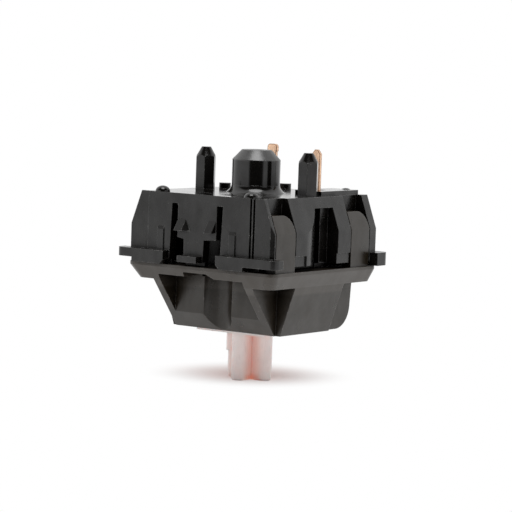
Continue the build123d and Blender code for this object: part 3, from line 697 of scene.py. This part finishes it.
def turned(name, profile, steps):
    """Piece turned round Z from a closed profile of radii and heights, in order inwards from its foot."""
    points = []
    for step in range(steps):
        angle = 2 * math.pi * step / steps
        along_x, along_y = math.cos(angle), math.sin(angle)
        points += [(radius * along_x, radius * along_y, height) for radius, height in profile]
    count = len(profile)
    faces = []
    for step in range(steps):
        here = step * count
        there = (step + 1) % steps * count
        for place in range(count):
            after = (place + 1) % count
            faces.append((here + place, there + place, there + after, here + after))
    mesh = bpy.data.meshes.new(name)
    mesh.from_pydata(points, [], faces)
    return piece_of(name, mesh)


def skirt_profile(sizes):
    """Outline of half the skirt: its foot, its hollow flare upwards and its wall inside the post."""
    foot = sizes.level - sizes.root
    top = sizes.level + sizes.height
    inside = sizes.post_radius - sizes.root
    flare = []
    for ring in range(sizes.rings + 1):
        share = ring / sizes.rings
        spread = sizes.flare * (1 - share) ** sizes.curve
        flare.append((sizes.post_radius + spread, sizes.level + sizes.height * share))
    return [(sizes.post_radius + sizes.flare, foot), *flare, (inside, top), (inside, foot)]


class KEYSWITCH_OT_turn_post_skirt(bpy.types.Operator):
    """Turns the flared skirt that joins the centre post to the board side"""

    bl_idname = "keyswitch.turn_post_skirt"
    bl_label = "Turn post skirt"

    def execute(self, context):
        sizes = context.scene.skirt_sizes
        skirt = turned("post_skirt", skirt_profile(sizes), sizes.steps)
        skirt.data.shade_smooth()
        skirt.data.set_sharp_from_angle(angle=SKIRT_CREASE)
        give_material(skirt, frame["nodes"]["bottom_housing"].data.materials[0])
        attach(skirt, "housing")
        return {"FINISHED"}


# Geometry node trees


def new_tree(name, lengths, counts=()):
    """Geometry node tree with named inputs, its writer and the sockets that give the inputs."""
    tree = bpy.data.node_groups.new(name, "GeometryNodeTree")
    kinds = {**dict.fromkeys(lengths, "Float"), **dict.fromkeys(counts, "Int"), "Material": "Material"}
    for label, kind in kinds.items():
        tree.interface.new_socket(label, in_out="INPUT", socket_type="NodeSocket" + kind)
    tree.interface.new_socket("Geometry", in_out="OUTPUT", socket_type="NodeSocketGeometry")
    w = NodeWriter(tree)
    return tree, w, w.add("NodeGroupInput").outputs


def end_tree(w, geometry, material):
    """Realizes the instances, sets the material and joins the result to the tree's output."""
    whole = w.add("GeometryNodeRealizeInstances", {"Geometry": geometry})
    painted = w.add(
        "GeometryNodeSetMaterial", {"Geometry": whole.outputs["Geometry"], "Material": material}
    )
    w.add("NodeGroupOutput", {"Geometry": painted.outputs["Geometry"]})


def vector_of(w, **parts):
    """Vector socket made of X, Y and Z, each a socket or a number, 0 where it isn't given."""
    return w.add("ShaderNodeCombineXYZ", parts).outputs["Vector"]


def dome_tree():
    """Four domes at the corners of a rectangle, each closed by a flat foot."""
    lengths = ("Radius", "Height", "Spacing X", "Spacing Y", "Level", "Root")
    tree, w, given = new_tree("board_domes", lengths)
    ball = w.add("GeometryNodeMeshUVSphere", {"Segments": 40, "Rings": 24, "Radius": 1.0})
    size = vector_of(w, X=given["Radius"], Y=given["Radius"], Z=given["Height"])
    shaped = w.add("GeometryNodeTransform", {"Geometry": ball.outputs["Mesh"], "Scale": size})
    position = w.add("GeometryNodeInputPosition").outputs["Position"]
    place = w.add("ShaderNodeSeparateXYZ", {"Vector": position}).outputs
    foot = w.math("MAXIMUM", place["Z"], w.times(given["Root"], -1.0))
    flattened = vector_of(w, X=place["X"], Y=place["Y"], Z=foot)
    dome = w.add("GeometryNodeSetPosition", {"Geometry": shaped.outputs["Geometry"], "Position": flattened})
    corners = w.add(
        "GeometryNodeMeshGrid",
        {"Size X": given["Spacing X"], "Size Y": given["Spacing Y"], "Vertices X": 2, "Vertices Y": 2},
    )
    raised = w.add(
        "GeometryNodeTransform",
        {"Geometry": corners.outputs["Mesh"], "Translation": vector_of(w, Z=given["Level"])},
    )
    domes = w.add(
        "GeometryNodeInstanceOnPoints",
        {"Points": raised.outputs["Geometry"], "Instance": dome.outputs["Geometry"]},
    )
    end_tree(w, domes.outputs["Instances"], given["Material"])
    return tree


def coil_tree():
    """Compression spring with closed ends, standing on z = 0."""
    lengths = ("Coil Radius", "Wire Radius", "Height", "Turns", "Closed Turns")
    tree, w, given = new_tree("coil_spring", lengths, counts=("Steps",))
    line = w.add("GeometryNodeCurvePrimitiveLine")
    wire = w.add("GeometryNodeResampleCurve", {"Curve": line.outputs["Curve"], "Count": given["Steps"]})
    along = w.add("GeometryNodeSplineParameter").outputs["Factor"]
    closed = w.math("DIVIDE", given["Closed Turns"], given["Turns"])
    open_end = w.minus(1.0, closed)
    wire_width = w.times(given["Wire Radius"], 2.0)
    stack = w.times(given["Closed Turns"], wire_width)
    middle = w.minus(w.minus(given["Height"], wire_width), w.times(stack, 2.0))
    level = given["Wire Radius"]
    for start, end, rise in ((0.0, closed, stack), (closed, open_end, middle), (open_end, 1.0, stack)):
        level = w.plus(level, w.mapped(along, start, end, 0.0, rise))
    angle = w.times(w.times(along, given["Turns"]), 2 * math.pi)
    place = vector_of(
        w,
        X=w.times(w.math("COSINE", angle), given["Coil Radius"]),
        Y=w.times(w.math("SINE", angle), given["Coil Radius"]),
        Z=level,
    )
    bent = w.add("GeometryNodeSetPosition", {"Geometry": wire.outputs["Curve"], "Position": place})
    section = w.add("GeometryNodeCurvePrimitiveCircle", {"Resolution": 10, "Radius": given["Wire Radius"]})
    body = w.add(
        "GeometryNodeCurveToMesh",
        {"Curve": bent.outputs["Geometry"], "Profile Curve": section.outputs["Curve"], "Fill Caps": True},
    )
    end_tree(w, body.outputs["Mesh"], given["Material"])
    return tree


def grown(name, tree, values):
    """Piece from a geometry node tree and the values of its named inputs."""
    holder = piece_of(name + "_grower", bpy.data.meshes.new(name + "_seed"))
    modifier = holder.modifiers.new("grow", "NODES")
    modifier.node_group = tree
    for item in tree.interface.items_tree:
        if item.item_type == "SOCKET" and item.in_out == "INPUT":
            modifier[item.identifier] = values[item.name]
    graph = bpy.context.evaluated_depsgraph_get()
    mesh = bpy.data.meshes.new_from_object(holder.evaluated_get(graph), depsgraph=graph)
    bpy.data.objects.remove(holder)
    if not mesh.polygons:
        raise RuntimeError(name + " came out empty")
    mesh.name = name
    mesh.shade_smooth()
    return piece_of(name, mesh)


class KEYSWITCH_OT_set_domes(bpy.types.Operator):
    """Sets the four small domes on the board side of the bottom housing"""

    bl_idname = "keyswitch.set_domes"
    bl_label = "Set domes"

    def execute(self, context):
        sizes = context.scene.dome_sizes
        domes = grown(
            "board_domes",
            dome_tree(),
            {
                "Radius": sizes.radius,
                "Height": sizes.height,
                "Spacing X": sizes.spacing_x,
                "Spacing Y": sizes.spacing_y,
                "Level": sizes.level,
                "Root": sizes.root,
                "Material": frame["nodes"]["bottom_housing"].data.materials[0],
            },
        )
        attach(domes, "housing")
        return {"FINISHED"}


class KEYSWITCH_OT_wind_spring(bpy.types.Operator):
    """Winds the return spring"""

    bl_idname = "keyswitch.wind_spring"
    bl_label = "Wind return spring"

    def execute(self, context):
        sizes = context.scene.spring_sizes
        look = context.scene.metal_look
        steel = worked_metal("spring_steel", look.steel, STEEL_TARNISH_AND_SHADE, look.roughness, DRAWN_WIRE)
        height = sizes.high - sizes.low
        spring = grown(
            "spring_coil",
            coil_tree(),
            {
                "Coil Radius": sizes.coil_radius,
                "Wire Radius": sizes.wire_radius,
                "Height": height,
                "Turns": sizes.turns,
                "Closed Turns": sizes.closed_turns,
                "Steps": sizes.steps,
                "Material": steel,
            },
        )
        spring.data.transform(Matrix.Translation((0.0, 0.0, sizes.low)))
        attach(spring, "housing")
        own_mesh(spring)
        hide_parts("return_spring")
        return {"FINISHED"}


# Stage


def white_world(world, setup):
    """White all round, with a dark room in front that only reflections and light see."""
    w = NodeWriter(world.node_tree)
    direction = w.add("ShaderNodeTexCoord").outputs["Generated"]
    ahead = Vector((math.sin(setup.azimuth), -math.cos(setup.azimuth), 0.0))
    room_middle = (ahead + Vector((0.0, 0.0, ROOM_HEIGHT))).normalized()
    low_dark = w.mapped(w.vector_math("DOT_PRODUCT", direction, room_middle), *ROOM_RIM, smooth=True)
    height = w.add("ShaderNodeSeparateXYZ", {"Vector": direction}).outputs["Z"]
    band = w.times(w.mapped(height, *BAND_FOOT, smooth=True), w.mapped(height, *BAND_TOP, smooth=True))
    in_front = w.mapped(w.vector_math("DOT_PRODUCT", direction, ahead), *BAND_SIDES, smooth=True)
    dark = w.math("MAXIMUM", low_dark, w.times(band, in_front))
    path = w.add("ShaderNodeLightPath").outputs
    darkest = w.mapped(path["Is Glossy Ray"], 0.0, 1.0, setup.dim_side, setup.dark_side)
    level = w.times(w.mapped(dark, 0.0, 1.0, 1.0, darkest), setup.sky)
    light = w.add("ShaderNodeBackground", {"Color": WHITE, "Strength": level})
    white = w.add("ShaderNodeBackground", {"Color": WHITE, "Strength": 1.0})
    seen = w.mixed_shader(path["Is Camera Ray"], light.outputs["Background"], white.outputs["Background"])
    w.finish("ShaderNodeOutputWorld", seen)


def floor_material(setup):
    """White floor with the switch's shadow, tinted by the light that comes through the stem."""
    material, w = new_material("white_floor")
    behind = Vector((-math.sin(setup.azimuth), math.cos(setup.azimuth), 0.0)) * setup.shadow_shift
    across, _ = across_axis(w, w.vector_math("SUBTRACT", object_point(w), behind))
    colour = w.mixed(w.mapped(across, *TINT_REACH, smooth=True), SHADOW_TINT, FLOOR_COLOUR)
    diffuse = w.add("ShaderNodeBsdfDiffuse", {"Color": colour})
    white = w.add("ShaderNodeEmission", {"Color": WHITE, "Strength": 1.0})
    path = w.add("ShaderNodeLightPath").outputs
    mirrored = w.math("MAXIMUM", path["Is Glossy Ray"], path["Is Transmission Ray"])
    seen = w.math("MAXIMUM", path["Is Camera Ray"], mirrored)
    away = w.mapped(across, 0.0, setup.shadow_reach, smooth=True)
    both = w.mixed_shader(w.times(seen, away), diffuse.outputs["BSDF"], white.outputs["Emission"])
    w.finish("ShaderNodeOutputMaterial", both)
    return material


def lay_floor(setup):
    """Pale floor, cut short towards the camera."""
    half = setup.floor_size / 2
    front = -setup.floor_front
    mesh = bpy.data.meshes.new("floor")
    corners = [(-half, front, 0), (half, front, 0), (half, half, 0), (-half, half, 0)]
    mesh.from_pydata(corners, [], [(0, 1, 2, 3)])
    mesh.transform(Matrix.Rotation(setup.azimuth, 4, "Z"))
    floor = piece_of("floor", mesh)
    give_material(floor, floor_material(setup))


def hang_lamp(setup):
    """Round soft lamp overhead, turned to the switch."""
    lamp = bpy.data.lights.new("top_lamp", "AREA")
    lamp.shape = "DISK"
    lamp.size = setup.lamp_width
    lamp.energy = setup.top_lamp
    holder = bpy.data.objects.new("top_lamp", lamp)
    holder.location = LAMP_PLACE
    holder.rotation_euler = (LAMP_TARGET - LAMP_PLACE).to_track_quat("-Z", "Y").to_euler()
    bpy.context.scene.collection.objects.link(holder)


def place_camera(setup):
    """Camera at the photo's angle, tilted a little, aimed beside the point it turns round."""
    level_back = Vector((math.sin(setup.azimuth), -math.cos(setup.azimuth), 0.0))
    back = level_back * math.cos(setup.elevation) + Vector((0.0, 0.0, math.sin(setup.elevation)))
    right = Vector((math.cos(setup.azimuth), math.sin(setup.azimuth), 0.0))
    up = back.cross(right)
    tilted_right = right * math.cos(setup.roll) + up * math.sin(setup.roll)
    tilted_up = up * math.cos(setup.roll) - right * math.sin(setup.roll)
    pivot = Vector((0.0, 0.0, setup.target_height))
    place = pivot + back * setup.distance
    aim = pivot + tilted_right * setup.aim_right + tilted_up * setup.aim_up
    axis_z = (place - aim).normalized()
    axis_x = tilted_up.cross(axis_z).normalized()
    axis_y = axis_z.cross(axis_x)
    data = bpy.data.cameras.new("camera")
    data.sensor_width = SENSOR_MILLIMETRES
    data.lens = setup.lens
    data.clip_start, data.clip_end = CAMERA_SEES
    camera = bpy.data.objects.new("camera", data)
    bpy.context.scene.collection.objects.link(camera)
    turn = Matrix((axis_x, axis_y, axis_z)).transposed().to_4x4()
    camera.matrix_world = Matrix.Translation(place) @ turn
    bpy.context.scene.camera = camera


class KEYSWITCH_OT_set_stage(bpy.types.Operator):
    """Sets the pale floor, the soft light and the camera"""

    bl_idname = "keyswitch.set_stage"
    bl_label = "Set stage"

    def execute(self, context):
        setup = context.scene.stage_setup
        lay_floor(setup)
        hang_lamp(setup)
        world = bpy.data.worlds.new("studio")
        world.use_nodes = True
        context.scene.world = world
        white_world(world, setup)
        place_camera(setup)
        context.scene.view_settings.view_transform = "Standard"
        return {"FINISHED"}


# Panel and registration


OPERATORS = (
    KEYSWITCH_OT_dress_bottom_housing,
    KEYSWITCH_OT_dress_top_housing,
    KEYSWITCH_OT_dress_stem,
    KEYSWITCH_OT_dress_contacts,
    KEYSWITCH_OT_turn_post_skirt,
    KEYSWITCH_OT_set_domes,
    KEYSWITCH_OT_wind_spring,
    KEYSWITCH_OT_set_stage,
)


class KEYSWITCH_PT_panel(bpy.types.Panel):
    """Lists the switch's pieces and the stage"""

    bl_idname = "KEYSWITCH_PT_panel"
    bl_label = "Key Switch"
    bl_space_type = "VIEW_3D"
    bl_region_type = "UI"
    bl_category = "Key Switch"

    def draw(self, context):
        for operator in OPERATORS:
            self.layout.operator(operator.bl_idname)


PROPERTY_GROUPS = (PlasticLook, StemLook, MetalLook, SkirtSizes, DomeSizes, SpringSizes, StageSetup)
SCENE_PROPERTIES = {
    "bottom_housing_look": PlasticLook,
    "top_housing_look": PlasticLook,
    "stem_look": StemLook,
    "metal_look": MetalLook,
    "skirt_sizes": SkirtSizes,
    "dome_sizes": DomeSizes,
    "spring_sizes": SpringSizes,
    "stage_setup": StageSetup,
}


def register():
    for group in PROPERTY_GROUPS:
        bpy.utils.register_class(group)
    for name, group in SCENE_PROPERTIES.items():
        setattr(bpy.types.Scene, name, PointerProperty(type=group))
    for listed in (*OPERATORS, KEYSWITCH_PT_panel):
        bpy.utils.register_class(listed)


def unregister():
    for listed in (KEYSWITCH_PT_panel, *reversed(OPERATORS)):
        bpy.utils.unregister_class(listed)
    for name in reversed(SCENE_PROPERTIES):
        delattr(bpy.types.Scene, name)
    for group in reversed(PROPERTY_GROUPS):
        bpy.utils.unregister_class(group)


def main():
    register()
    bpy.ops.keyswitch.dress_bottom_housing()
    bpy.ops.keyswitch.dress_top_housing()
    bpy.ops.keyswitch.dress_stem()
    bpy.ops.keyswitch.dress_contacts()
    bpy.ops.keyswitch.turn_post_skirt()
    bpy.ops.keyswitch.set_domes()
    bpy.ops.keyswitch.wind_spring()
    bpy.ops.keyswitch.set_stage()


if __name__ == "__main__":
    main()
